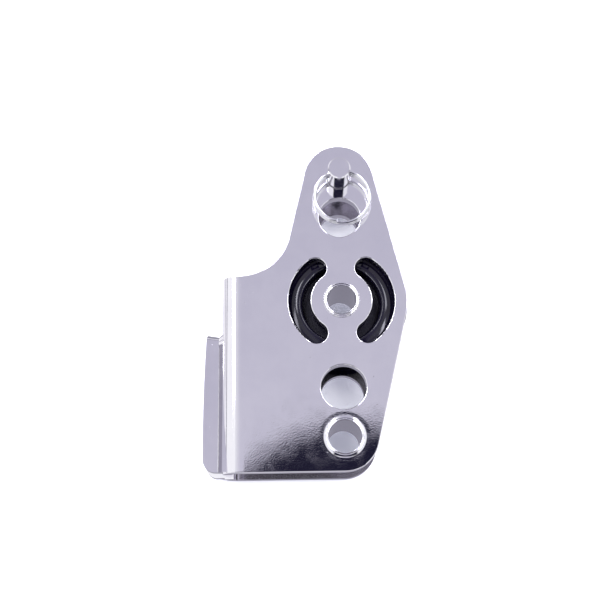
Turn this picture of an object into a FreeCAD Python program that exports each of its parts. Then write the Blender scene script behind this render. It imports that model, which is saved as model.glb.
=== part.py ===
"""Sheave block with a V jam, a clevis pin and a split ring, for a dinghy's kicking strap.

One folded sheet of stainless steel makes both cheeks, the web that joins them and the two jaws
of the V jam. A moulded sheave turns on a sleeve between the cheeks, a hollow rivet clamps the
cheeks on that sleeve, a second hollow rivet with its spacer is the becket for the rope's dead
end, and a clevis pin held by a split ring hangs the block from a mast tang.

Frame, in millimetres: the origin is on the sheave's axis, midway between the cheeks. +Z runs
along that axis out of the front cheek, +Y points at the clevis pin and -X at the web. The
block lies on its back.
"""

import FreeCAD
import Part
import math
import os

from FreeCAD import Vector

# Sheet and spacing
SHEET = 2.0
GAP = 8.2
BEND_OUTER = 2.8
EDGE_ROUND = 0.2

# Cheek outline, in the XY plane
HEAD_Y, HEAD_R = 28.7, 7.8
AXLE_LOBE_R = 14.4
BECKET_Y, BECKET_LOBE_R = -30.2, 7.3
WEB_X = -26.0
SHOULDER_Y = 5.8
NECK_FILLET = 11.5

# Holes in both cheeks
UPPER_HOLE_Y, UPPER_HOLE_R = 19.3, 4.6
LOWER_HOLE_Y, LOWER_HOLE_R = -19.4, 4.87
SLOT_MEAN_R, SLOT_WIDTH, SLOT_HALF_ANGLE = 9.2, 4.8, 53.0

# V jam in the web: a slot that narrows towards the sheave, with flared jaws
JAM_TOP_Y, JAM_BOTTOM_Y = -6.0, -37.2
JAM_LIP_X, JAM_LIP_TOP_X = -30.1, -29.6
JAM_CORNER_R, JAM_TOP_CORNER_R = 2.6, 0.8
JAM_BOW = 0.12
JAW_THICK = 1.6
JAM_NARROW_R, JAM_WIDE_HALF = 0.7, 3.1
JAM_FLARE = 0.7
JAW_ROOT = 1.0
RIB_COUNT, RIB_PITCH, RIB_START, RIB_END = 8, 2.8, 4.5, 0.9
RIB_R, RIB_PROUD = 0.4, 0.2

# Sheave and its axle
SHEAVE_R, SHEAVE_SIDE_GAP = 14.6, 0.3
GROOVE_R, GROOVE_FLOOR_R = 3.1, 11.3
RIM_SIDE_R, RIM_STEP, RIM_CREST = 13.7, 0.6, 0.35
RIDGE_INNER_R, RIDGE_OUTER_R, RIDGE_CROWN = 8.8, 10.6, 0.15
HUB_R, HUB_RECESS, STEP_RUN = 6.2, 2.6, 0.3
SLEEVE_R, RUN_CLEARANCE = 4.2, 0.06
AXLE_TUBE_R, AXLE_BORE_R, AXLE_FLANGE_R = 3.6, 3.1, 4.0

# Becket
BECKET_TUBE_R, BECKET_BORE_R, BECKET_FLANGE_R = 4.0, 3.5, 4.55
BECKET_SPACER_R = 4.8
SPACER_CHAMFER = 0.25
FLANGE_THICK, FLANGE_EDGE, FLANGE_ROLL = 0.45, 0.12, 0.25

# Clevis pin and split ring
PIN_R, PIN_TIP, PIN_CHAMFER = 2.5, 5.8, 0.25
PIN_HEAD_R, PIN_HEAD_THICK, PIN_HEAD_EDGE, PIN_END_PLAY = 3.9, 1.2, 0.4, 0.1
CROSS_HOLE_R, CROSS_HOLE_FROM_TIP = 1.05, 3.4
WIRE_R, RING_MEAN_R, RING_TURNS, RING_PITCH = 0.425, 6.075, 1.94, 0.88
RING_X = 0.6

# How near two places count as the same
TOUCH = 1e-3

# Worked out from the above
HALF_GAP = GAP / 2
FACE_Z = HALF_GAP + SHEET
CUT_START, CUT_LENGTH = -FACE_Z - 1, 2 * FACE_Z + 2
BOTTOM_Y = BECKET_Y - BECKET_LOBE_R
CROSS_HOLE_Z = FACE_Z + PIN_TIP - CROSS_HOLE_FROM_TIP
JAM_CENTRE_Y = JAM_TOP_Y - JAM_NARROW_R - JAM_FLARE - JAW_THICK
JAM_LEAN = math.atan((JAM_WIDE_HALF - JAM_NARROW_R) / (JAM_CENTRE_Y - BOTTOM_Y))
RING_SAG = RING_MEAN_R - math.sqrt(RING_MEAN_R**2 - (PIN_R + RING_X) ** 2)
RING_Y = HEAD_Y - RING_MEAN_R + RING_SAG / 2


def point(x, y, z=0.0):
    return Vector(x, y, z)


def line(a, b):
    return Part.LineSegment(a, b).toShape()


def arc(a, mid, b):
    return Part.Arc(a, mid, b).toShape()


def on_circle(centre_y, radius, degrees):
    """A point on a circle whose centre is on the Y axis, in the XY plane."""
    a = math.radians(degrees)
    return point(radius * math.cos(a), centre_y + radius * math.sin(a))


def prism(edges, height, start=0.0):
    """A closed flat outline, pulled along +Z from z = start."""
    face = Part.Face(Part.Wire(edges))
    solid = face.extrude(point(0, 0, height))
    solid.translate(point(0, 0, start))
    return solid


def through_hole(radius, y):
    """A cylinder along Z that is long enough to cut both cheeks."""
    return Part.makeCylinder(radius, CUT_LENGTH, point(0, y, CUT_START), point(0, 0, 1))


def turned(points_rz):
    """A solid of revolution about Z, from its half section's corners (radius, z)."""
    corners = [point(r, 0, z) for r, z in points_rz]
    wire = Part.makePolygon(corners + [corners[0]])
    return Part.Face(wire).revolve(point(0, 0), point(0, 0, 1), 360)


def one_solid(shape):
    """The shape as a single clean solid."""
    clean = shape.removeSplitter()
    return clean.Solids[0] if len(clean.Solids) == 1 else clean


def rounded(solid, radius, wanted):
    """The solid with the edges that `wanted` picks rounded to `radius`."""
    return solid.makeFillet(radius, [e for e in solid.Edges if wanted(e)])


def cheek_outline():
    """The cheek's edge, from the web's bottom corner round the right side to the shoulder."""
    lean_upper = math.degrees(math.asin((AXLE_LOBE_R - HEAD_R) / HEAD_Y))
    lean_lower = math.degrees(math.asin((AXLE_LOBE_R - BECKET_LOBE_R) / -BECKET_Y))
    bend_x = WEB_X + BEND_OUTER

    corner_low = on_circle(BECKET_Y, BECKET_LOBE_R, -90)
    corner_mid = on_circle(BECKET_Y, BECKET_LOBE_R, -45)
    corner_high = on_circle(BECKET_Y, BECKET_LOBE_R, -lean_lower)
    lobe_low = on_circle(0, AXLE_LOBE_R, -lean_lower)
    lobe_high = on_circle(0, AXLE_LOBE_R, lean_upper)
    head_right = on_circle(HEAD_Y, HEAD_R, lean_upper)
    head_left = on_circle(HEAD_Y, HEAD_R, 180 - lean_upper)

    # The neck's left side leans like its right side, then turns into the shoulder.
    along = point(-math.sin(math.radians(lean_upper)), -math.cos(math.radians(lean_upper)))
    outward = point(-math.cos(math.radians(lean_upper)), math.sin(math.radians(lean_upper)))
    fillet_y = SHOULDER_Y + NECK_FILLET
    touch_base = head_left + outward * NECK_FILLET
    reach = (fillet_y - touch_base.y) / along.y
    centre = touch_base + along * reach
    neck_end = centre - outward * NECK_FILLET
    shoulder_start = point(centre.x, SHOULDER_Y)
    half_way = math.radians((-lean_upper - 90) / 2)
    neck_mid = centre + point(math.cos(half_way), math.sin(half_way)) * NECK_FILLET

    return [
        line(point(bend_x, BOTTOM_Y), corner_low),
        arc(corner_low, corner_mid, corner_high),
        line(corner_high, lobe_low),
        arc(lobe_low, point(AXLE_LOBE_R, 0), lobe_high),
        line(lobe_high, head_right),
        arc(head_right, point(0, HEAD_Y + HEAD_R), head_left),
        line(head_left, neck_end),
        arc(neck_end, neck_mid, shoulder_start),
        line(shoulder_start, point(bend_x, SHOULDER_Y)),
        line(point(bend_x, SHOULDER_Y), point(bend_x, BOTTOM_Y)),
    ]


def web_with_bends():
    """The web and its two bends: a channel section in XZ, pulled along Y."""
    centre_x = WEB_X + BEND_OUTER
    flat_z = FACE_Z - BEND_OUTER
    inner_r = BEND_OUTER - SHEET
    slant = math.sqrt(0.5)

    def corner(radius, sign):
        return (
            point(centre_x, 0, sign * (flat_z + radius)),
            point(centre_x - radius * slant, 0, sign * (flat_z + radius * slant)),
            point(centre_x - radius, 0, sign * flat_z),
        )

    outer_top, outer_low = corner(BEND_OUTER, 1), corner(BEND_OUTER, -1)
    inner_top, inner_low = corner(inner_r, 1), corner(inner_r, -1)
    edges = [
        arc(*outer_top),
        line(outer_top[2], outer_low[2]),
        arc(*reversed(outer_low)),
        line(outer_low[0], inner_low[0]),
        arc(*inner_low),
        line(inner_low[2], inner_top[2]),
        arc(*reversed(inner_top)),
        line(inner_top[0], outer_top[0]),
    ]
    channel = Part.Face(Part.Wire(edges)).extrude(point(0, SHOULDER_Y - BOTTOM_Y, 0))
    channel.translate(point(0, BOTTOM_Y, 0))
    return channel


def curved_slot(side):
    """One arc-shaped window beside the axle. side is 1 for +X and -1 for -X."""
    half = SLOT_WIDTH / 2
    inner, outer = SLOT_MEAN_R - half, SLOT_MEAN_R + half
    a = SLOT_HALF_ANGLE

    def at(radius, degrees):
        p = on_circle(0, radius, degrees)
        return point(side * p.x, p.y)

    def cap(degrees, lean):
        centre = at(SLOT_MEAN_R, degrees)
        out = math.radians(degrees + lean)
        return centre + point(side * math.cos(out), math.sin(out)) * half

    edges = [
        arc(at(outer, -a), at(outer, 0), at(outer, a)),
        arc(at(outer, a), cap(a, 90), at(inner, a)),
        arc(at(inner, a), at(inner, 0), at(inner, -a)),
        arc(at(inner, -a), cap(-a, -90), at(outer, -a)),
    ]
    return prism(edges, CUT_LENGTH, CUT_START)


def jam_section(x, offset):
    """The V jam's outline at one x: two leaning sides and a round narrow end, grown by offset."""
    radius = JAM_NARROW_R + offset
    touch_z = radius * math.cos(JAM_LEAN)
    touch_y = JAM_CENTRE_Y + radius * math.sin(JAM_LEAN)
    foot_y = BOTTOM_Y - 2
    foot_z = touch_z + (touch_y - foot_y) * math.tan(JAM_LEAN)
    left_foot, right_foot = point(x, foot_y, -foot_z), point(x, foot_y, foot_z)
    left_touch, right_touch = point(x, touch_y, -touch_z), point(x, touch_y, touch_z)
    return Part.Wire(
        [
            line(left_foot, left_touch),
            arc(left_touch, point(x, JAM_CENTRE_Y + radius, 0), right_touch),
            line(right_touch, right_foot),
            line(right_foot, left_foot),
        ]
    )


def flare_at(x):
    """How much wider the V jam is at x than where it leaves the web."""
    return JAM_FLARE * (WEB_X - x) / (WEB_X - JAM_LIP_X)


def jaw_block():
    """The jaws before the V is cut: leaning walls that spread where they leave the web."""
    inside, past_lip = WEB_X + SHEET / 2, JAM_LIP_X - 1
    sections = [
        jam_section(inside, JAW_THICK + JAW_ROOT),
        jam_section(WEB_X, JAW_THICK + JAW_ROOT),
        jam_section(WEB_X - JAW_ROOT, JAW_THICK + flare_at(WEB_X - JAW_ROOT)),
        jam_section(past_lip, JAW_THICK + flare_at(past_lip)),
    ]
    return Part.makeLoft(sections, True, True)


def jam_space():
    """The V that the rope is pulled into, right through the web and out past the lips."""
    inside, past_lip = WEB_X + SHEET + 2, JAM_LIP_X - 1
    sections = [jam_section(inside, flare_at(inside)), jam_section(past_lip, flare_at(past_lip))]
    return Part.makeLoft(sections, True, True)


def jaw_plan():
    """The jaws' outline seen from the front: a slightly bowed lip and a rounded lower corner."""
    r = JAM_CORNER_R
    slant = math.sqrt(0.5)
    root_x = WEB_X + SHEET / 2
    corner = point(JAM_LIP_X + r, JAM_BOTTOM_Y + r)
    top_r = JAM_TOP_CORNER_R
    edges = [
        line(point(root_x, JAM_TOP_Y), point(JAM_LIP_TOP_X + top_r, JAM_TOP_Y)),
        arc(
            point(JAM_LIP_TOP_X + top_r, JAM_TOP_Y),
            point(JAM_LIP_TOP_X + top_r * (1 - slant), JAM_TOP_Y - top_r * (1 - slant)),
            point(JAM_LIP_TOP_X, JAM_TOP_Y - top_r),
        ),
        arc(
            point(JAM_LIP_TOP_X, JAM_TOP_Y - top_r),
            point(JAM_LIP_X + JAM_BOW, (JAM_TOP_Y * 2 + JAM_BOTTOM_Y) / 3),
            point(JAM_LIP_X, corner.y),
        ),
        arc(
            point(JAM_LIP_X, corner.y),
            corner + point(-slant, -slant) * r,
            point(corner.x, JAM_BOTTOM_Y),
        ),
        line(point(corner.x, JAM_BOTTOM_Y), point(root_x, JAM_BOTTOM_Y)),
        line(point(root_x, JAM_BOTTOM_Y), point(root_x, JAM_TOP_Y)),
    ]
    return prism(edges, 2 * FACE_Z, -FACE_Z)


def grip_ribs():
    """Half-round ribs coined across each jaw's inner face."""
    ribs = []
    for row in range(RIB_COUNT):
        y = JAM_CENTRE_Y - RIB_START - row * RIB_PITCH
        half = JAM_NARROW_R / math.cos(JAM_LEAN) + (JAM_CENTRE_Y - y) * math.tan(JAM_LEAN)
        sunk = half + RIB_R - RIB_PROUD
        near_x, far_x = WEB_X + RIB_END, JAM_LIP_X + RIB_END
        for side in (-1, 1):
            start = point(near_x, y, side * (sunk + flare_at(near_x)))
            end = point(far_x, y, side * (sunk + flare_at(far_x)))
            ribs.append(Part.makeCylinder(RIB_R, (end - start).Length, start, end - start))
    return ribs


def folded_frame():
    """Both cheeks, the web and the V jam's jaws, from one sheet."""
    outline = cheek_outline()
    cheeks = [prism(outline, SHEET, HALF_GAP), prism(outline, SHEET, -FACE_Z)]
    blank = one_solid(cheeks[0].fuse([cheeks[1], web_with_bends()]))

    holes = [
        through_hole(PIN_R + RUN_CLEARANCE, HEAD_Y),
        through_hole(UPPER_HOLE_R, UPPER_HOLE_Y),
        through_hole(AXLE_TUBE_R, 0),
        through_hole(LOWER_HOLE_R, LOWER_HOLE_Y),
        through_hole(BECKET_TUBE_R, BECKET_Y),
        curved_slot(1),
        curved_slot(-1),
    ]
    blank = blank.cut(holes)

    seam_x = WEB_X + BEND_OUTER

    def outer_rim(edge):
        """Edges of the outer skin, but not the bends' tangent seams or the rivets' seats."""
        box = edge.BoundBox
        along_y = box.XLength < TOUCH and box.ZLength < TOUCH
        if along_y and min(abs(box.XMin - seam_x), abs(box.XMin - WEB_X)) < TOUCH:
            return False
        middle = edge.valueAt((edge.FirstParameter + edge.LastParameter) / 2)
        for y, radius in ((0, AXLE_TUBE_R), (BECKET_Y, BECKET_TUBE_R)):
            if abs(math.hypot(middle.x, middle.y - y) - radius) < TOUCH:
                return False
        on_face = abs(abs(middle.z) - FACE_Z) < TOUCH and box.ZLength < TOUCH
        at_end = box.YLength < TOUCH
        bend_reach = math.hypot(middle.x - seam_x, abs(middle.z) - (FACE_Z - BEND_OUTER))
        on_bend = at_end and middle.x < seam_x and abs(bend_reach - BEND_OUTER) < TOUCH
        on_web = at_end and abs(middle.x - WEB_X) < TOUCH
        return on_face or on_bend or on_web

    blank = rounded(blank, EDGE_ROUND, outer_rim)

    whole = blank.fuse(jaw_block().common(jaw_plan()))
    whole = whole.cut(jam_space())
    return one_solid(whole.fuse(grip_ribs()))


def sheave():
    """The moulded sheave: a round groove, a bearing ridge on each side and a recessed hub."""
    half = HALF_GAP - SHEAVE_SIDE_GAP
    bore = SLEEVE_R + RUN_CLEARANCE
    floor_z, shoulder_z, ridge_z = half - HUB_RECESS, half - RIM_STEP, half - RIDGE_CROWN
    groove_centre_r = GROOVE_FLOOR_R + GROOVE_R
    crest_r = SHEAVE_R - RIM_CREST
    throat_z = math.sqrt(GROOVE_R**2 - (crest_r - groove_centre_r) ** 2)
    rim_z = (shoulder_z + throat_z) / 2
    ridge_mean_r = (RIDGE_INNER_R + RIDGE_OUTER_R) / 2
    slant = math.sqrt(0.5)

    def at(radius, height):
        return point(radius, 0, height)

    side = [
        line(at(bore, 0), at(bore, half)),
        line(at(bore, half), at(HUB_R, half)),
        line(at(HUB_R, half), at(HUB_R + STEP_RUN, floor_z)),
        line(at(HUB_R + STEP_RUN, floor_z), at(RIDGE_INNER_R - STEP_RUN, floor_z)),
        line(at(RIDGE_INNER_R - STEP_RUN, floor_z), at(RIDGE_INNER_R, ridge_z)),
        arc(at(RIDGE_INNER_R, ridge_z), at(ridge_mean_r, half), at(RIDGE_OUTER_R, ridge_z)),
        line(at(RIDGE_OUTER_R, ridge_z), at(RIDGE_OUTER_R + STEP_RUN, shoulder_z)),
        line(at(RIDGE_OUTER_R + STEP_RUN, shoulder_z), at(RIM_SIDE_R, shoulder_z)),
        line(at(RIM_SIDE_R, shoulder_z), at(SHEAVE_R, rim_z)),
        line(at(SHEAVE_R, rim_z), at(crest_r, throat_z)),
        arc(
            at(crest_r, throat_z),
            at(groove_centre_r - GROOVE_R * slant, GROOVE_R * slant),
            at(GROOVE_FLOOR_R, 0),
        ),
        line(at(GROOVE_FLOOR_R, 0), at(bore, 0)),
    ]
    half_solid = Part.Face(Part.Wire(side)).revolve(point(0, 0), point(0, 0, 1), 360)
    return one_solid(half_solid.fuse(half_solid.mirror(point(0, 0), point(0, 0, 1))))


def hollow_rivet(tube_r, bore_r, flange_r, y):
    """A tubular rivet whose ends are rolled over both cheeks."""
    top = FACE_Z + FLANGE_THICK
    roll = FLANGE_ROLL
    inset = roll * (1 - math.sqrt(0.5))

    def at(radius, height):
        return point(radius, 0, height)

    lip = [
        line(at(bore_r, 0), at(bore_r, top - roll)),
        arc(at(bore_r, top - roll), at(bore_r + inset, top - inset), at(bore_r + roll, top)),
        arc(
            at(bore_r + roll, top),
            at((bore_r + roll + flange_r) / 2, top - FLANGE_EDGE / 2),
            at(flange_r, FACE_Z + FLANGE_EDGE),
        ),
        line(at(flange_r, FACE_Z + FLANGE_EDGE), at(flange_r, FACE_Z)),
        line(at(flange_r, FACE_Z), at(tube_r, FACE_Z)),
        line(at(tube_r, FACE_Z), at(tube_r, 0)),
        line(at(tube_r, 0), at(bore_r, 0)),
    ]
    half = Part.Face(Part.Wire(lip)).revolve(point(0, 0), point(0, 0, 1), 360)
    rivet = one_solid(half.fuse(half.mirror(point(0, 0), point(0, 0, 1))))
    rivet.translate(point(0, y, 0))
    return rivet


def sleeve(outer_r, inner_r, y):
    """A tube as long as the gap, which keeps the cheeks apart."""
    chamfer = SPACER_CHAMFER
    tube = turned(
        [
            (inner_r, -HALF_GAP),
            (outer_r - chamfer, -HALF_GAP),
            (outer_r, -HALF_GAP + chamfer),
            (outer_r, HALF_GAP - chamfer),
            (outer_r - chamfer, HALF_GAP),
            (inner_r, HALF_GAP),
        ]
    )
    tube.translate(point(0, y, 0))
    return tube


def clevis_pin():
    """The pin: a domed head behind the back cheek, and a tip with a cross hole for the ring."""
    tip_z = FACE_Z + PIN_TIP
    seat_z = -FACE_Z - PIN_END_PLAY
    head_z = seat_z - PIN_HEAD_THICK
    dome_r = PIN_HEAD_R - 2 * PIN_HEAD_EDGE

    def at(radius, height):
        return point(radius, 0, height)

    edges = [
        line(at(0, head_z), at(dome_r, head_z)),
        arc(
            at(dome_r, head_z),
            at(PIN_HEAD_R - PIN_HEAD_EDGE / 2, head_z + PIN_HEAD_EDGE / 2),
            at(PIN_HEAD_R, head_z + 2 * PIN_HEAD_EDGE),
        ),
        line(at(PIN_HEAD_R, head_z + 2 * PIN_HEAD_EDGE), at(PIN_HEAD_R, seat_z)),
        line(at(PIN_HEAD_R, seat_z), at(PIN_R, seat_z)),
        line(at(PIN_R, seat_z), at(PIN_R, tip_z - PIN_CHAMFER)),
        line(at(PIN_R, tip_z - PIN_CHAMFER), at(PIN_R - PIN_CHAMFER, tip_z)),
        line(at(PIN_R - PIN_CHAMFER, tip_z), at(0, tip_z)),
        line(at(0, tip_z), at(0, head_z)),
    ]
    pin = Part.Face(Part.Wire(edges)).revolve(point(0, 0), point(0, 0, 1), 360)
    pin.translate(point(0, HEAD_Y, 0))
    hole_start = point(-PIN_R - 1, HEAD_Y, CROSS_HOLE_Z)
    hole = Part.makeCylinder(CROSS_HOLE_R, 2 * PIN_R + 2, hole_start, point(1, 0, 0))
    return one_solid(pin.cut(hole))


def split_ring():
    """Two close turns of round wire through the pin's cross hole, hanging down from it."""
    height = RING_TURNS * RING_PITCH
    path = Part.makeHelix(RING_PITCH, height, RING_MEAN_R)
    section = Part.Wire(Part.makeCircle(WIRE_R, point(RING_MEAN_R, 0, 0), point(0, 1, 0)))
    ring = Part.Wire(path.Edges).makePipeShell([section], True, True)
    ring.translate(point(0, 0, -height / 2))
    start_angle = -90 + 180 * (2 - RING_TURNS)
    ring.rotate(point(0, 0), point(0, 0, 1), start_angle)
    ring.translate(point(RING_X, RING_Y, CROSS_HOLE_Z))
    return ring


def main():
    os.makedirs("parts", exist_ok=True)
    parts = {
        "folded_frame": folded_frame(),
        "sheave": sheave(),
        "axle_rivet": hollow_rivet(AXLE_TUBE_R, AXLE_BORE_R, AXLE_FLANGE_R, 0),
        "axle_sleeve": sleeve(SLEEVE_R, AXLE_TUBE_R, 0),
        "becket_rivet": hollow_rivet(BECKET_TUBE_R, BECKET_BORE_R, BECKET_FLANGE_R, BECKET_Y),
        "becket_spacer": sleeve(BECKET_SPACER_R, BECKET_TUBE_R, BECKET_Y),
        "clevis_pin": clevis_pin(),
        "split_ring": split_ring(),
    }
    for name, shape in parts.items():
        shape.exportStep(f"parts/{name}.step")
        print(f"{name}: {len(shape.Solids)} solid, {shape.Volume:.1f} mm3, valid {shape.isValid()}")


main()
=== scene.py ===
# %% [markdown]
# # A sheave block with a V jam
#
# This block sits at the foot of a dinghy's kicking strap. One folded sheet of polished stainless
# steel makes both cheeks, the web that joins them and the flared jaws that grip the rope. The
# CAD model is loaded as a fixed frame: it says where everything is and what moves with what.
# Everything below only adds looks around it.

# %% Load the fixed frame
import math

import bmesh
import bpy
from mathutils import Matrix, Vector


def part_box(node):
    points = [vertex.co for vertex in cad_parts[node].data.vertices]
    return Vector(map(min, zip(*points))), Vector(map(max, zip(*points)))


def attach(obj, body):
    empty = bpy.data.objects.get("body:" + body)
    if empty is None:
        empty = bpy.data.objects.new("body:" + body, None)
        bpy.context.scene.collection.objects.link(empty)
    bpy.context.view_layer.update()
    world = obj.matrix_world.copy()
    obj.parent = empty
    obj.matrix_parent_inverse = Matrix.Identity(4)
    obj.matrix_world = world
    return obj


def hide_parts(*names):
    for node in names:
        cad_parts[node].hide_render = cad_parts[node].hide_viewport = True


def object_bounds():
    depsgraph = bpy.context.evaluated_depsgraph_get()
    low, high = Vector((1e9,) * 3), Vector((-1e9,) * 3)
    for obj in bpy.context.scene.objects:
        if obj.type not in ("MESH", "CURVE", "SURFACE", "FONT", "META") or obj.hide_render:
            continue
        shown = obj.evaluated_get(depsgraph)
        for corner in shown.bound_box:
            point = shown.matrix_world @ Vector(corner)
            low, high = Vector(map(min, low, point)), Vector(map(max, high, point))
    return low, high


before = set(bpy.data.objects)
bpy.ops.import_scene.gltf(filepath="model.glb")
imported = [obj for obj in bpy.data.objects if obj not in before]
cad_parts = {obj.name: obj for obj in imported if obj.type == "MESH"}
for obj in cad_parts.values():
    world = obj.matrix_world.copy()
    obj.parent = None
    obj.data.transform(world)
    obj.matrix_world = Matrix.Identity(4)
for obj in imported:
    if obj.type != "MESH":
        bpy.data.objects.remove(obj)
MM = 0.001
cad_low, cad_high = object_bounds()
print("block size in mm:", [round(x / MM, 1) for x in cad_high - cad_low])

# %% [markdown]
# ## Places taken from the frame
#
# A new piece has to sit exactly where its CAD node sits. Measuring the nodes' boxes gives the
# sheave's axis, the becket's axis and the thickness over the cheeks, so these aren't typed
# again. Only the fold's radius and the web's outer face are, because no node's box gives them.

# %% Measure the nodes that the new pieces are built on
def middle(node):
    low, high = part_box(node)
    return (low + high) / 2


def size(node):
    low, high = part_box(node)
    return high - low


FOLD_RADIUS = 2.8 * MM
WEB_FACE_X = -26.0 * MM
becket_y = middle("becket_rivet").y
pin_y = middle("clevis_pin").y
face_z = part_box("folded_frame")[1].z
gap = size("axle_sleeve").z
fold_x = WEB_FACE_X + FOLD_RADIUS
print(f"becket {becket_y / MM:.1f}, pin {pin_y / MM:.1f}, face {face_z / MM:.1f}, "
      f"gap {gap / MM:.1f} mm")

# %% [markdown]
# ## The camera
#
# The block lies on its back and is seen from above, a little from its becket end. From far off
# it would look flat, so the camera stands only 25 cm away, and the holes show their depth. The
# three angles are the tilt, which does nearly all the work, and two very small turns.

# %% Set up the camera
camera_data = bpy.data.cameras.new("camera")
camera = bpy.data.objects.new("camera", camera_data)
bpy.context.scene.collection.objects.link(camera)
CAMERA_PLACE = Vector((-10.17, -73.55, 240)) * MM
CAMERA_ANGLES = (15.65, -0.232, -0.838)
camera.location = CAMERA_PLACE
camera.rotation_mode = "ZYX"
camera.rotation_euler = [math.radians(a) for a in CAMERA_ANGLES]
camera_data.lens = 67.43
camera_data.shift_y = 0.06
camera_data.clip_start, camera_data.clip_end = 0.01, 20
bpy.context.scene.camera = camera
print("camera", round(camera.location.length / MM), "mm from the sheave's axis")

# %% [markdown]
# ## The floor
#
# A pale matt floor touches the lowest point of the block. It is a real surface and not a plain
# background, because polished steel shows whatever is round it, and the underside has to have
# something to reflect. It glows a little, like a light table, which lifts the shade that would
# otherwise fill the holes.

# %% Make the floor
FLOOR_SIZE = 3.0
bm = bmesh.new()
bmesh.ops.create_grid(bm, x_segments=1, y_segments=1, size=FLOOR_SIZE / 2)
bmesh.ops.translate(bm, verts=bm.verts, vec=(0, 0, cad_low.z))
floor_mesh = bpy.data.meshes.new("floor")
bm.to_mesh(floor_mesh)
bm.free()
floor = bpy.data.objects.new("floor", floor_mesh)
bpy.context.scene.collection.objects.link(floor)

floor_paint = bpy.data.materials.new("floor_paint")
floor_paint.use_nodes = True
floor_shader = floor_paint.node_tree.nodes["Principled BSDF"]
floor_shader.inputs["Base Color"].default_value = (0.9, 0.9, 0.91, 1)
floor_shader.inputs["Roughness"].default_value = 0.9
floor_shader.inputs["Specular IOR Level"].default_value = 0.1
floor_shader.inputs["Emission Color"].default_value = (0.79, 0.81, 1.02, 1)
floor_shader.inputs["Emission Strength"].default_value = 0.30
floor_mesh.materials.append(floor_paint)
print("floor at", round(cad_low.z / MM, 2), "mm")

# %% [markdown]
# ## What the metal reflects
#
# Polished steel has no colour of its own, only a slight grey. Its look is the room's look. Here
# the room is white softboxes at both sides with a cooler lavender ceiling between them, and one
# dark shape near the camera, as a photographer leaves. A thin grey line just above the horizon
# draws the fine dark lines in rounded edges, and a narrow strong window on each side gives black
# nylon its highlights. The world shader paints all that from the direction alone. Rays straight
# from the camera see plain white, so the block stands on white.

# %% A small helper for shader nodes
def add_node(tree, kind, settings=None, **inputs):
    """A new node. Inputs are given by name, or as i0, i1 and so on where names repeat."""
    made = tree.nodes.new(kind)
    for key, value in (settings or {}).items():
        setattr(made, key, value)
    for key, value in inputs.items():
        numbered = key[0] == "i" and key[1:].isdigit()
        socket = made.inputs[int(key[1:]) if numbered else key]
        if isinstance(value, bpy.types.NodeSocket):
            tree.links.new(value, socket)
        else:
            socket.default_value = value
    return made


def maths(tree, operation, *values):
    """The result of one Math node."""
    inputs = {f"i{k}": value for k, value in enumerate(values)}
    return add_node(tree, "ShaderNodeMath", {"operation": operation}, **inputs).outputs[0]


def mix_colours(tree, share, first, second):
    """Two colours mixed by share. Inputs 6 and 7 and output 2 are the Mix node's colour ones."""
    node = add_node(tree, "ShaderNodeMix", {"data_type": "RGBA"}, i0=share, i6=first, i7=second)
    return node.outputs[2]


def ramp(tree, value, low, high, start=0.0, end=1.0):
    """value mapped smoothly from low..high to start..end."""
    node = add_node(
        tree, "ShaderNodeMapRange", {"interpolation_type": "SMOOTHSTEP"},
        Value=value, **{"From Min": low, "From Max": high, "To Min": start, "To Max": end},
    )
    return node.outputs["Result"]


print("node helpers ready")

# %% Paint the room
CEILING_NEAR = (0.60, 0.585, 0.695, 1)
CEILING_FAR = (0.515, 0.50, 0.615, 1)
SOFTBOX = (0.98, 0.98, 1.02, 1)
GAP_GREY = (0.30, 0.285, 0.36, 1)
WEST_WINDOW = (13.0, 13.0, 14.5, 1)
EAST_WINDOW = (9.0, 9.0, 10.0, 1)
DARK = (0.012, 0.011, 0.028, 1)

# Directions run from -1 to 1 along each axis. A strip is its centre, half width and blend.
CEILING_FADE = (0.12, 0.46)
CEILING_LEFT, CEILING_RIGHT, BOX_BLEND = -0.10, 0.26, 0.16
GAP_STRIP = (0.12, 0.05, 0.03)
WINDOW_HEIGHT = (0.55, 0.28, 0.06)
WEST_STRIP = (-0.36, 0.035, 0.03)
EAST_STRIP = (0.44, 0.04, 0.05)
# The dark shape is a disc round its top, and widens by DARK_SPREAD from there to its foot.
DARK_CENTRE_X, DARK_TOP_Y, DARK_RADIUS, DARK_BLEND = 0.05, 0.05, 0.148, 0.01
DARK_SPREAD = 0.62
DARK_FOOT = (-0.75, -0.65)

world = bpy.data.worlds.new("room")
bpy.context.scene.world = world
world.use_nodes = True
room = world.node_tree
room.nodes.clear()
direction = add_node(room, "ShaderNodeTexCoord").outputs["Generated"]
axes = add_node(room, "ShaderNodeSeparateXYZ", Vector=direction)
east, north, up = axes.outputs["X"], axes.outputs["Y"], axes.outputs["Z"]


def strip(value, centre, half_width, blend):
    """1 on a strip of directions about one value of an axis, falling softly to 0."""
    off = maths(room, "ABSOLUTE", maths(room, "SUBTRACT", value, centre))
    return ramp(room, off, half_width + blend, half_width)


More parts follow.
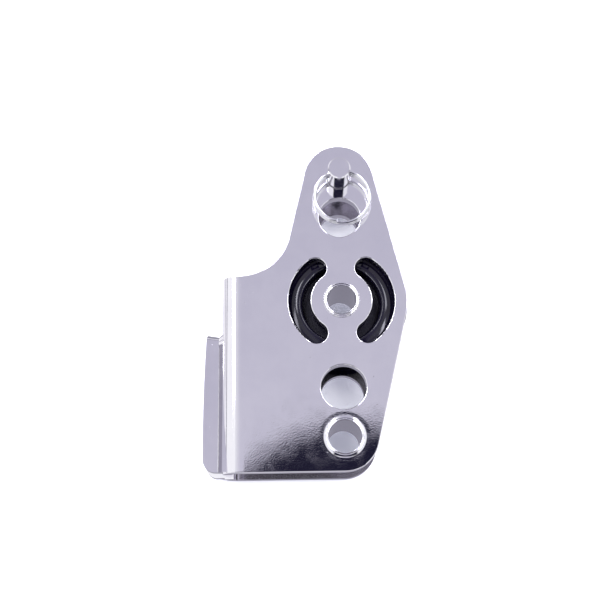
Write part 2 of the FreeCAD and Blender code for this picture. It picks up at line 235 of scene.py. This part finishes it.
ceiling = mix_colours(room, ramp(room, north, *CEILING_FADE), CEILING_NEAR, CEILING_FAR)
left_box = ramp(room, east, CEILING_LEFT, CEILING_LEFT - BOX_BLEND)
right_box = ramp(room, east, CEILING_RIGHT, CEILING_RIGHT + BOX_BLEND)
light_room = mix_colours(room, maths(room, "MAXIMUM", left_box, right_box), ceiling, SOFTBOX)
light_room = mix_colours(room, strip(up, *GAP_STRIP), light_room, GAP_GREY)
across = maths(room, "SUBTRACT", east, DARK_CENTRE_X)
past_top = maths(room, "SUBTRACT", north, DARK_TOP_Y)
beyond = maths(room, "MAXIMUM", past_top, 0.0)
spread = maths(room, "MULTIPLY", maths(room, "MINIMUM", past_top, 0.0), -DARK_SPREAD)
reach = maths(room, "SQRT", maths(room, "ADD", maths(room, "MULTIPLY", across, across),
                                  maths(room, "MULTIPLY", beyond, beyond)))
past_rim = maths(room, "SUBTRACT", reach, spread)
inside = ramp(room, past_rim, DARK_RADIUS, DARK_RADIUS - DARK_BLEND)
dark = maths(room, "MULTIPLY", inside, ramp(room, north, *DARK_FOOT))
darkened = mix_colours(room, dark, light_room, DARK)
window_height = strip(north, *WINDOW_HEIGHT)
west_window = maths(room, "MULTIPLY", window_height, strip(east, *WEST_STRIP))
east_window = maths(room, "MULTIPLY", window_height, strip(east, *EAST_STRIP))
painted = mix_colours(room, west_window, darkened, WEST_WINDOW)
painted = mix_colours(room, east_window, painted, EAST_WINDOW)
seen = add_node(room, "ShaderNodeLightPath").outputs["Is Camera Ray"]
shown = mix_colours(room, seen, painted, (1, 1, 1, 1))
background = add_node(room, "ShaderNodeBackground", Color=shown, Strength=1.0)
output = add_node(room, "ShaderNodeOutputWorld")
room.links.new(background.outputs[0], output.inputs["Surface"])
print("room painted with", len(room.nodes), "nodes")

# %% [markdown]
# ## What the metal sees of the floor
#
# Upright faces mirror the floor beside the block. If that were white they would vanish against
# the white behind them. So the floor carries a painted reflection: to mirror rays alone it is grey
# near the block and fades to pale further off, which paints shade on the edges from foot to top.
# Two pale strips of the same painted reflection lie along the folded side and the becket end,
# where they paint highlights on the bend and the cheek's edge. Rays that aren't mirrored still
# meet the white floor.

# %% Tint the mirrored floor
# Painted reflection: the floor shows these colours and the two pale strips only to mirror rays.
REFLECTED_FLOOR_NEAR = (0.32, 0.31, 0.38, 1)
REFLECTED_FLOOR_FAR = (0.95, 0.94, 1.0, 1)
FADE_START, FADE_END = 30 * MM, 150 * MM
WEST_REFLECTED_STRIP, SOUTH_REFLECTED_STRIP = (-32 * MM, -64 * MM), (-39 * MM, -64 * MM)
REFLECTED_STRIP_BLEND = 2 * MM

floor_tree = floor_paint.node_tree
floor_place = add_node(floor_tree, "ShaderNodeTexCoord").outputs["Object"]
from_block = add_node(
    floor_tree, "ShaderNodeVectorMath", {"operation": "LENGTH"}, Vector=floor_place
)
fade = ramp(floor_tree, from_block.outputs["Value"], FADE_START, FADE_END)
floor_axes = add_node(floor_tree, "ShaderNodeSeparateXYZ", Vector=floor_place).outputs
for across_reflected_strip, (near, far) in ((floor_axes["X"], WEST_REFLECTED_STRIP), (floor_axes["Y"], SOUTH_REFLECTED_STRIP)):
    reflected_strip = maths(floor_tree, "MULTIPLY", ramp(floor_tree, across_reflected_strip, near, near - REFLECTED_STRIP_BLEND),
                 ramp(floor_tree, across_reflected_strip, far, far + REFLECTED_STRIP_BLEND))
    fade = maths(floor_tree, "MAXIMUM", fade, reflected_strip)
mirrored_colour = mix_colours(floor_tree, fade, REFLECTED_FLOOR_NEAR, REFLECTED_FLOOR_FAR)
mirrored = add_node(floor_tree, "ShaderNodeEmission", Color=mirrored_colour)
glossy = add_node(floor_tree, "ShaderNodeLightPath").outputs["Is Glossy Ray"]
floor_mix = add_node(floor_tree, "ShaderNodeMixShader", i0=glossy,
                     i1=floor_shader.outputs[0], i2=mirrored.outputs[0])
floor_output = floor_tree.nodes["Material Output"]
floor_tree.links.new(floor_mix.outputs[0], floor_output.inputs["Surface"])
print("mirrored floor fades from", round(FADE_START / MM), "to", round(FADE_END / MM), "mm")

# %% [markdown]
# ## Soft lamps
#
# The world alone would leave the floor grey. Two large area lamps lift it to white and put a
# soft shadow under the block. They are hidden from mirror reflections, so the metal goes on
# showing the painted room and no lamp shapes. The Standard view keeps whites white.

# %% Hang the lamps
def area_lamp(name, place):
    """A square lamp at place, aimed at the sheave."""
    data = bpy.data.lights.new(name, "AREA")
    data.size = LAMP_WIDTH
    data.energy = LAMP_POWER
    lamp = bpy.data.objects.new(name, data)
    lamp.location = place
    lamp.rotation_mode = "QUATERNION"
    lamp.rotation_quaternion = (-Vector(place)).to_track_quat("-Z", "Y")
    lamp.visible_glossy = False
    lamp.visible_camera = False
    bpy.context.scene.collection.objects.link(lamp)
    return lamp


LAMP_WIDTH, LAMP_POWER = 0.8, 11.0
lamps = [
    area_lamp("lamp_left", (-0.6, 0.1, 0.7)),
    area_lamp("lamp_right", (0.6, 0.2, 0.8)),
]
bpy.context.scene.view_settings.view_transform = "Standard"
bpy.context.scene.view_settings.look = "None"
print(len(lamps), "lamps")

# %% [markdown]
# ## Shared surface effects
#
# Tumbled and electropolished steel isn't a perfect mirror. Under the shine there is a fine
# orange peel, which breaks up the edges of dark reflections, and patches of tiny pits. A node
# group holds the effect once, and each metal puts it in with its own scale.

# %% Node group: orange peel
def new_group(name, inputs, outputs):
    group = bpy.data.node_groups.new(name, "ShaderNodeTree")
    for label, value in inputs.items():
        socket = group.interface.new_socket(label, in_out="INPUT", socket_type="NodeSocketFloat")
        socket.default_value = value
    for label in outputs:
        group.interface.new_socket(label, in_out="OUTPUT", socket_type="NodeSocketFloat")
    group_in = group.nodes.new("NodeGroupInput")
    group_out = group.nodes.new("NodeGroupOutput")
    return group, group_in.outputs, group_out.inputs


WIDE_SHARE, PIT_SHARE = 0.12, 0.15
WIDE_HEIGHT, PEEL_HAZE = 0.45, 0.02


def peel_group():
    """Fine peel on wide waves, less the pits. The two shares scale the coarser patterns."""
    group, given, result = new_group(
        "orange_peel", {"Scale": 1500.0, "Pits": 0.5, "Haze": 0.03}, ("Height", "Roughness")
    )
    place = add_node(group, "ShaderNodeTexCoord").outputs["Object"]
    peel = add_node(group, "ShaderNodeTexNoise", Vector=place, Scale=given["Scale"], Detail=2.0)
    wide_scale = maths(group, "MULTIPLY", given["Scale"], WIDE_SHARE)
    wide = add_node(group, "ShaderNodeTexNoise", Vector=place, Scale=wide_scale, Detail=1.0)
    pit_scale = maths(group, "MULTIPLY", given["Scale"], PIT_SHARE)
    cells = add_node(group, "ShaderNodeTexVoronoi", Vector=place, Scale=pit_scale)
    pitted = maths(group, "MULTIPLY", ramp(group, cells.outputs["Distance"], 0.09, 0.03),
                   ramp(group, wide.outputs[0], 0.50, 0.60))
    pits = maths(group, "MULTIPLY", pitted, given["Pits"])
    wide_waves = maths(group, "MULTIPLY", wide.outputs[0], WIDE_HEIGHT)
    waves = maths(group, "ADD", peel.outputs[0], wide_waves)
    group.links.new(maths(group, "SUBTRACT", waves, pits), result["Height"])
    haze = maths(group, "MULTIPLY", ramp(group, wide.outputs[0], 0.35, 0.75), given["Haze"])
    fine_haze = maths(group, "MULTIPLY", peel.outputs[0], PEEL_HAZE)
    group.links.new(maths(group, "ADD", haze, fine_haze), result["Roughness"])
    return group


ORANGE_PEEL = peel_group()
print("group", ORANGE_PEEL.name, "has", len(ORANGE_PEEL.nodes), "nodes")

# %% [markdown]
# ## Polished sheet
#
# The cheeks are mirror bright. Where the becket rivet was set, the punch dished the sheet a
# little, and towards the fold the sheet is faintly crowned, so the reflection slides from
# lavender to white there. Distances taken from Object coordinates give both as heights for Bump
# nodes. The faces inside the fold can't be reached by a polishing mop and stay dull.

# %% Material: polished sheet
PEEL_DEPTH = 0.0030 * MM
DISH_INNER_R, DISH_OUTER_R, DISH_DEPTH = 4.6 * MM, 5.6 * MM, 0.006 * MM
CROWN_WIDTH, CROWN_DEPTH, CROWN_LIMIT = 2.0 * MM, 0.075 * MM, 1.2
SHEET_GREY, SHEET_BRIGHT = (0.885, 0.875, 0.91, 1), (0.925, 0.915, 0.94, 1)
DULL_GREY, DULL_METALLIC, DULL_HAZE = (0.60, 0.58, 0.635, 1), 0.92, 0.08
SHEET_HAZE = 0.03


def metal(name, colour, roughness):
    """A plain metal. The nodes that feed its sockets later vary round these middle values."""
    material = bpy.data.materials.new(name)
    material.use_nodes = True
    tree = material.node_tree
    shader = tree.nodes["Principled BSDF"]
    shader.inputs["Base Color"].default_value = (*colour, 1)
    shader.inputs["Metallic"].default_value = 1.0
    shader.inputs["Roughness"].default_value = roughness
    return material, tree, shader


def place_group(tree, group, **values):
    node = tree.nodes.new("ShaderNodeGroup")
    node.node_tree = group
    for key, value in values.items():
        node.inputs[key].default_value = value
    return node


def axis_distance(tree, axis_y):
    """The distance from an axis along Z through (0, axis_y)."""
    place = add_node(tree, "ShaderNodeTexCoord").outputs["Object"]
    parts = add_node(tree, "ShaderNodeSeparateXYZ", Vector=place)
    away = maths(tree, "SUBTRACT", parts.outputs["Y"], axis_y)
    squares = maths(tree, "ADD", maths(tree, "MULTIPLY", parts.outputs["X"], parts.outputs["X"]),
                    maths(tree, "MULTIPLY", away, away))
    return maths(tree, "SQRT", squares)


def polished_sheet():
    material, tree, shader = metal("polished_sheet", (0.90, 0.89, 0.92), 0.05)
    place = add_node(tree, "ShaderNodeTexCoord").outputs["Object"]
    parts = add_node(tree, "ShaderNodeSeparateXYZ", Vector=place)
    peel = place_group(tree, ORANGE_PEEL, Scale=3400.0, Pits=4.0, Haze=0.04)
    bump = add_node(tree, "ShaderNodeBump", Strength=1.0, Distance=PEEL_DEPTH,
                    Height=peel.outputs["Height"])
    becket_dish = ramp(tree, axis_distance(tree, becket_y), DISH_INNER_R, DISH_OUTER_R)
    dished = add_node(tree, "ShaderNodeBump", Strength=1.0, Distance=DISH_DEPTH,
                      Height=becket_dish, Normal=bump.outputs[0])
    towards_fold = maths(tree, "SUBTRACT", fold_x + CROWN_WIDTH, parts.outputs["X"])
    near_fold = maths(tree, "MAXIMUM", maths(tree, "DIVIDE", towards_fold, CROWN_WIDTH), 0.0)
    near_fold = maths(tree, "MINIMUM", near_fold, CROWN_LIMIT)
    crown = maths(tree, "MULTIPLY", maths(tree, "MULTIPLY", near_fold, near_fold), -1.0)
    folded = add_node(tree, "ShaderNodeBump", Strength=1.0, Distance=CROWN_DEPTH, Height=crown,
                      Normal=dished.outputs[0])
    tree.links.new(folded.outputs[0], shader.inputs["Normal"])

    # The inner faces were never polished: they are greyer and duller.
    off_middle = maths(tree, "ABSOLUTE", parts.outputs["Z"])
    inner = ramp(tree, off_middle, gap / 2 + 0.1 * MM, gap / 2 + 0.02 * MM)
    in_cheeks = ramp(tree, parts.outputs["X"], fold_x - 1.0 * MM, fold_x)
    dull = maths(tree, "MULTIPLY", inner, in_cheeks)
    mottle = add_node(tree, "ShaderNodeTexNoise", Vector=place, Scale=160.0, Detail=3.0)
    cloud = ramp(tree, mottle.outputs[0], 0.3, 0.7)
    tint = mix_colours(tree, cloud, SHEET_GREY, SHEET_BRIGHT)
    tree.links.new(mix_colours(tree, dull, tint, DULL_GREY), shader.inputs["Base Color"])
    tree.links.new(ramp(tree, dull, 0.0, 1.0, 1.0, DULL_METALLIC), shader.inputs["Metallic"])
    haze = maths(tree, "ADD", peel.outputs["Roughness"], SHEET_HAZE)
    dull_haze = maths(tree, "MULTIPLY", dull, DULL_HAZE)
    tree.links.new(maths(tree, "ADD", haze, dull_haze), shader.inputs["Roughness"])
    return material


POLISHED_SHEET = polished_sheet()
print("made", POLISHED_SHEET.name)

# %% [markdown]
# ## Turned metal
#
# The rivets, sleeve, spacer and pin come off a lathe. Turning leaves fine rings, which show on
# flat ends as faint circles and along shafts as bands. One wave of the distance from the axis,
# and one of the height along it, gives both. The ring's drawn wire takes the same finish.
# Where a bore is given, its wall is painted darker: painted shade inside the tube.

# %% Material: turned metal
# Painted shade: a bore's wall is darkened to this share of the colour, fading out just past the
# bore.
PAINTED_BORE_SHADE = 0.74
PAINTED_SHADE_EDGE = (0.03 * MM, 0.12 * MM)
LATHE_MARKS = {"Scale": 900.0, "Distortion": 0.6, "Detail": 1.0}
MARK_SHARE, MARK_DEPTH = 0.35, 0.003 * MM


def turned_metal(name, axis_y, colour, roughness, bore_r=0.0):
    """bore_r is the radius of a bore whose wall gets painted shade, a darker colour inside the
    tube.
    """
    material, tree, shader = metal(name, colour, roughness)
    # Painted shade: inside the bore the wall gets a darker colour, standing in for the shade in
    # the tube.
    if bore_r:
        edge_in, edge_out = (bore_r + past for past in PAINTED_SHADE_EDGE)
        clear_of_painted_shade = ramp(tree, axis_distance(tree, axis_y), edge_in, edge_out)
        shaded = tuple(PAINTED_BORE_SHADE * c for c in colour)
        tint = mix_colours(tree, clear_of_painted_shade, (*shaded, 1), (*colour, 1))
        tree.links.new(tint, shader.inputs["Base Color"])
    place = add_node(tree, "ShaderNodeTexCoord").outputs["Object"]
    mapping = add_node(tree, "ShaderNodeMapping", Vector=place, Location=(0, -axis_y, 0))
    centred = mapping.outputs[0]
    rings = add_node(
        tree, "ShaderNodeTexWave", {"wave_type": "RINGS", "rings_direction": "Z"},
        Vector=centred, **LATHE_MARKS,
    )
    bands = add_node(
        tree, "ShaderNodeTexWave", {"wave_type": "BANDS", "bands_direction": "Z"},
        Vector=centred, **LATHE_MARKS,
    )
    peel = place_group(tree, ORANGE_PEEL, Scale=2200.0, Pits=0.8, Haze=0.06)
    marks = maths(tree, "ADD", rings.outputs["Fac"], bands.outputs["Fac"])
    grooves = maths(tree, "MULTIPLY", marks, MARK_SHARE)
    height = maths(tree, "ADD", grooves, peel.outputs["Height"])
    bump = add_node(tree, "ShaderNodeBump", Strength=1.0, Distance=MARK_DEPTH, Height=height)
    tree.links.new(bump.outputs[0], shader.inputs["Normal"])
    haze = maths(tree, "ADD", peel.outputs["Roughness"], roughness)
    tree.links.new(haze, shader.inputs["Roughness"])
    return material


AXLE_BORE_R, BECKET_BORE_R = 3.16 * MM, 3.5 * MM
RIVET_GREY = (0.86, 0.85, 0.89)
TURNED_AXLE = turned_metal("turned_axle", 0.0, RIVET_GREY, 0.10, AXLE_BORE_R)
TURNED_BECKET = turned_metal("turned_becket", becket_y, RIVET_GREY, 0.10, BECKET_BORE_R)
TURNED_PIN = turned_metal("turned_pin", pin_y, (0.88, 0.87, 0.90), 0.10)
RING_WIRE = turned_metal("ring_wire", pin_y, (0.85, 0.85, 0.88), 0.07)
print("made", [m.name for m in (TURNED_AXLE, TURNED_BECKET, TURNED_PIN, RING_WIRE)])

# %% [markdown]
# ## Black nylon
#
# The sheave is moulded in black nylon. The raised ring and the rim are rubbed smooth enough to
# carry long soft highlights, with turning marks that follow the rim. The recess round the hub
# keeps the dull skin that it had in the mould, so it looks deeper than it is.

# %% Material: black nylon
NYLON_DEEP, NYLON_PALE = (0.0015, 0.001, 0.006, 1), (0.004, 0.003, 0.011, 1)
RUBBED_FROM, RUBBED_TO = 8.35 * MM, 8.5 * MM
MATT_ROUGHNESS = 0.62
SHINE_LOW, SHINE_HIGH = 0.07, 0.13
RIM_MARK_SHARE, NYLON_DEPTH = 0.4, 0.0012 * MM


def black_nylon():
    material = bpy.data.materials.new("black_nylon")
    material.use_nodes = True
    tree = material.node_tree
    shader = tree.nodes["Principled BSDF"]
    shader.inputs["Specular IOR Level"].default_value = 0.42
    place = add_node(tree, "ShaderNodeTexCoord").outputs["Object"]
    grain = add_node(tree, "ShaderNodeTexNoise", Vector=place, Scale=2600.0, Detail=3.0)
    mottle = add_node(tree, "ShaderNodeTexNoise", Vector=place, Scale=260.0, Detail=2.0)
    rings = add_node(
        tree, "ShaderNodeTexWave", {"wave_type": "RINGS", "rings_direction": "Z"},
        Vector=place, Scale=420.0, Distortion=0.4,
    )
    colour = mix_colours(tree, mottle.outputs[0], NYLON_DEEP, NYLON_PALE)
    tree.links.new(colour, shader.inputs["Base Color"])
    rubbed = ramp(tree, axis_distance(tree, 0.0), RUBBED_FROM, RUBBED_TO)
    matt = ramp(tree, rubbed, 0.0, 1.0, MATT_ROUGHNESS, 0.0)
    shine = ramp(tree, mottle.outputs[0], 0.3, 0.7, SHINE_LOW, SHINE_HIGH)
    tree.links.new(maths(tree, "MAXIMUM", matt, shine), shader.inputs["Roughness"])
    rim_marks = maths(tree, "MULTIPLY", rings.outputs["Fac"], RIM_MARK_SHARE)
    height = maths(tree, "ADD", grain.outputs[0], rim_marks)
    bump = add_node(tree, "ShaderNodeBump", Strength=1.0, Distance=NYLON_DEPTH, Height=height)
    tree.links.new(bump.outputs[0], shader.inputs["Normal"])
    return material


BLACK_NYLON = black_nylon()
print("made", BLACK_NYLON.name)

# %% [markdown]
# ## Turned and moulded pieces
#
# The sheave and the rivets are round, so one half section says everything about them. Each
# section starts as a flat outline of a few corners. Bevelling a corner's vertex rounds it, with
# its own radius, and a full spin about the axis then sweeps the outline into a closed solid.
# That gives softer edges than a boolean would, and the edges are what catches the light.

# %% A helper that spins a half section
ROUND_STEPS = 144
SMALL_ROUNDING, FEW_SEGMENTS, MANY_SEGMENTS = 0.5, 4, 10


def new_piece(name, bm, material):
    mesh = bpy.data.meshes.new(name)
    bmesh.ops.recalc_face_normals(bm, faces=bm.faces)
    bm.to_mesh(mesh)
    bm.free()
    mesh.shade_smooth()
    mesh.materials.append(material)
    piece = bpy.data.objects.new(name, mesh)
    bpy.context.scene.collection.objects.link(piece)
    keep_flats = piece.modifiers.new("keep_flats", "WEIGHTED_NORMAL")
    keep_flats.keep_sharp = True
    return piece


def round_corner(bm, corner, radius, segments):
    bmesh.ops.bevel(
        bm, geom=[corner], offset=radius, offset_type="OFFSET", affect="VERTICES",
        segments=segments, profile=0.5, material=-1,
    )


def spun_piece(name, section, axis_y, material):
    """section lists the outline's corners as (radius, z, rounding) in millimetres."""
    bm = bmesh.new()
    corners = [bm.verts.new((r * MM, axis_y, z * MM)) for r, z, rounding in section]
    bm.faces.new(corners)
    for corner, (r, z, rounding) in zip(corners, section):
        if rounding:
            segments = FEW_SEGMENTS if rounding < SMALL_ROUNDING else MANY_SEGMENTS
            round_corner(bm, corner, rounding * MM, segments)
    bmesh.ops.delete(bm, geom=bm.faces[:], context="FACES_ONLY")
    bmesh.ops.spin(
        bm, geom=bm.verts[:] + bm.edges[:], cent=(0, axis_y, 0), axis=(0, 0, 1),
        angle=math.tau, steps=ROUND_STEPS, use_merge=True,
    )
    bmesh.ops.remove_doubles(bm, verts=bm.verts, dist=0.0001 * MM)
    print(name, "has", len(bm.faces), "faces")
    return new_piece(name, bm, material)


def both_ends(upper):
    """The upper half of a section, followed by its mirror image."""
    return upper + [(r, -z, rounding) for r, z, rounding in reversed(upper)]


# %% [markdown]
# ## The sheave
#
# The sheave carries the rope in a deep round groove. Each side has a flat hub beside the cheek,
# a deep recess, and a raised ring whose outer shoulder is broad and soft. Only the ring and the
# recess show through the curved windows, where the shoulder draws one long highlight.

# %% Make the sheave
sheave_half = size("sheave").z / 2 / MM
sheave_r = size("sheave").x / 2 / MM
RECESS_DEPTH = 2.6
sheave = spun_piece("sheave_moulding", both_ends([
    (4.26, sheave_half, 0.15),  # bore
    (6.2, sheave_half, 0.2),  # hub's edge
    (6.5, sheave_half - RECESS_DEPTH, 0.15),
    (8.35, sheave_half - RECESS_DEPTH, 0.15),
    (8.75, sheave_half - 0.05, 0.6),  # raised ring's inner edge
    (10.15, sheave_half - 0.05, 1.2),  # its broad shoulder
    (11.9, sheave_half - 0.9, 0.5),
    (13.7, sheave_half - 0.75, 0.1),  # flange
    (sheave_r, sheave_half - 0.72, 0.03),
    (sheave_r - 0.3, 3.08, 0.1),
    (11.3, 3.05, 2.9),  # groove
]), 0.0, BLACK_NYLON)
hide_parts("sheave")
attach(sheave, "sheave")

# %% [markdown]
# ## The hollow rivets
#
# A hollow rivet is a tube whose ends a punch has rolled outwards. The axle's lip is narrow,
# with a fine groove that the punch's edge left. The becket's is wide and slopes down to
# the cheek like a washer.

# %% Make the rivets
lip_z = size("axle_rivet").z / 2 / MM
face = face_z / MM
axle_rivet = spun_piece("axle_rivet_tube", both_ends([
    (AXLE_BORE_R / MM, lip_z - 0.02, 0.14),
    (3.42, lip_z, 0.10),
    (3.55, lip_z - 0.16, 0.05),  # punch's groove
    (3.74, lip_z - 0.04, 0.10),
    (4.0, face + 0.12, 0.05),  # lip's edge on the cheek
    (4.0, face, 0),
    (3.6, face, 0),  # tube's outside, in its hole
]), 0.0, TURNED_AXLE)
becket_rivet = spun_piece("becket_rivet_tube", both_ends([
    (BECKET_BORE_R / MM, lip_z - 0.02, 0.14),
    (3.78, lip_z, 0.12),
    (3.90, lip_z - 0.12, 0.05),
    (4.05, lip_z - 0.08, 0.08),
    (4.55, face + 0.12, 0.06),  # lip's edge on the cheek
    (4.55, face, 0),
    (4.0, face, 0),  # tube's outside, in its hole
]), becket_y, TURNED_BECKET)
for piece, node_name in ((axle_rivet, "axle_rivet"), (becket_rivet, "becket_rivet")):
    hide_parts(node_name)
    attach(piece, "frame")

# %% [markdown]
# ## The split ring
#
# A split ring is nearly two turns of round wire, wound so close that they touch. A circle of
# wire is spun about the ring's axis with a small rise at each step, which makes a helix. The two
# cut ends are filled and their edges bevelled, because a ring with sharp ends couldn't be
# threaded on.

# %% Make the split ring
WIRE_R = 0.425 * MM
WIRE_SIDES = 20
WIRE_END_BEVEL = 0.16 * MM
TURNS = 1.94
RING_STEPS = 216
QUARTER_TURN = math.radians(90)
ring_centre = middle("split_ring")
ring_mean_r = size("split_ring").x / 2 - WIRE_R
ring_rise = size("split_ring").z - 2 * WIRE_R
start_angle = -QUARTER_TURN + math.pi * (2 - TURNS)

bm = bmesh.new()
bmesh.ops.create_circle(bm, cap_ends=False, radius=WIRE_R, segments=WIRE_SIDES)
stand_up = Matrix.Rotation(QUARTER_TURN, 3, "X")
bmesh.ops.rotate(bm, verts=bm.verts, cent=(0, 0, 0), matrix=stand_up)
bmesh.ops.translate(bm, verts=bm.verts, vec=(ring_mean_r, 0, -ring_rise / 2))
to_start = Matrix.Rotation(start_angle, 3, "Z")
bmesh.ops.rotate(bm, verts=bm.verts, cent=(0, 0, 0), matrix=to_start)
bmesh.ops.translate(bm, verts=bm.verts, vec=ring_centre)
bmesh.ops.spin(
    bm, geom=bm.verts[:] + bm.edges[:], cent=ring_centre, axis=(0, 0, 1),
    dvec=(0, 0, ring_rise / RING_STEPS), angle=math.tau * TURNS, steps=RING_STEPS, use_merge=False,
)
rims = [e for e in bm.edges if e.is_boundary]
bmesh.ops.holes_fill(bm, edges=rims, sides=WIRE_SIDES)
bmesh.ops.bevel(
    bm, geom=rims, offset=WIRE_END_BEVEL, offset_type="OFFSET", affect="EDGES",
    segments=4, profile=0.5, material=-1,
)
ring = new_piece("split_ring_wire", bm, RING_WIRE)
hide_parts("split_ring")
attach(ring, "split_ring")
print("ring of", round(2 * ring_mean_r / MM, 2), "mm mean diameter")

# %% [markdown]
# ## Giving the CAD nodes their finishes
#
# A CAD node whose shape is right stays as it is and only gets a better material.

# %% Assign materials to the nodes
FINISHES = {
    "folded_frame": POLISHED_SHEET,
    "axle_sleeve": TURNED_AXLE,
    "becket_spacer": TURNED_BECKET,
    "clevis_pin": TURNED_PIN,
}
for node_name, finish in FINISHES.items():
    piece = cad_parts[node_name]
    for slot in piece.material_slots:
        slot.material = finish
print("finished", len(FINISHES), "nodes")
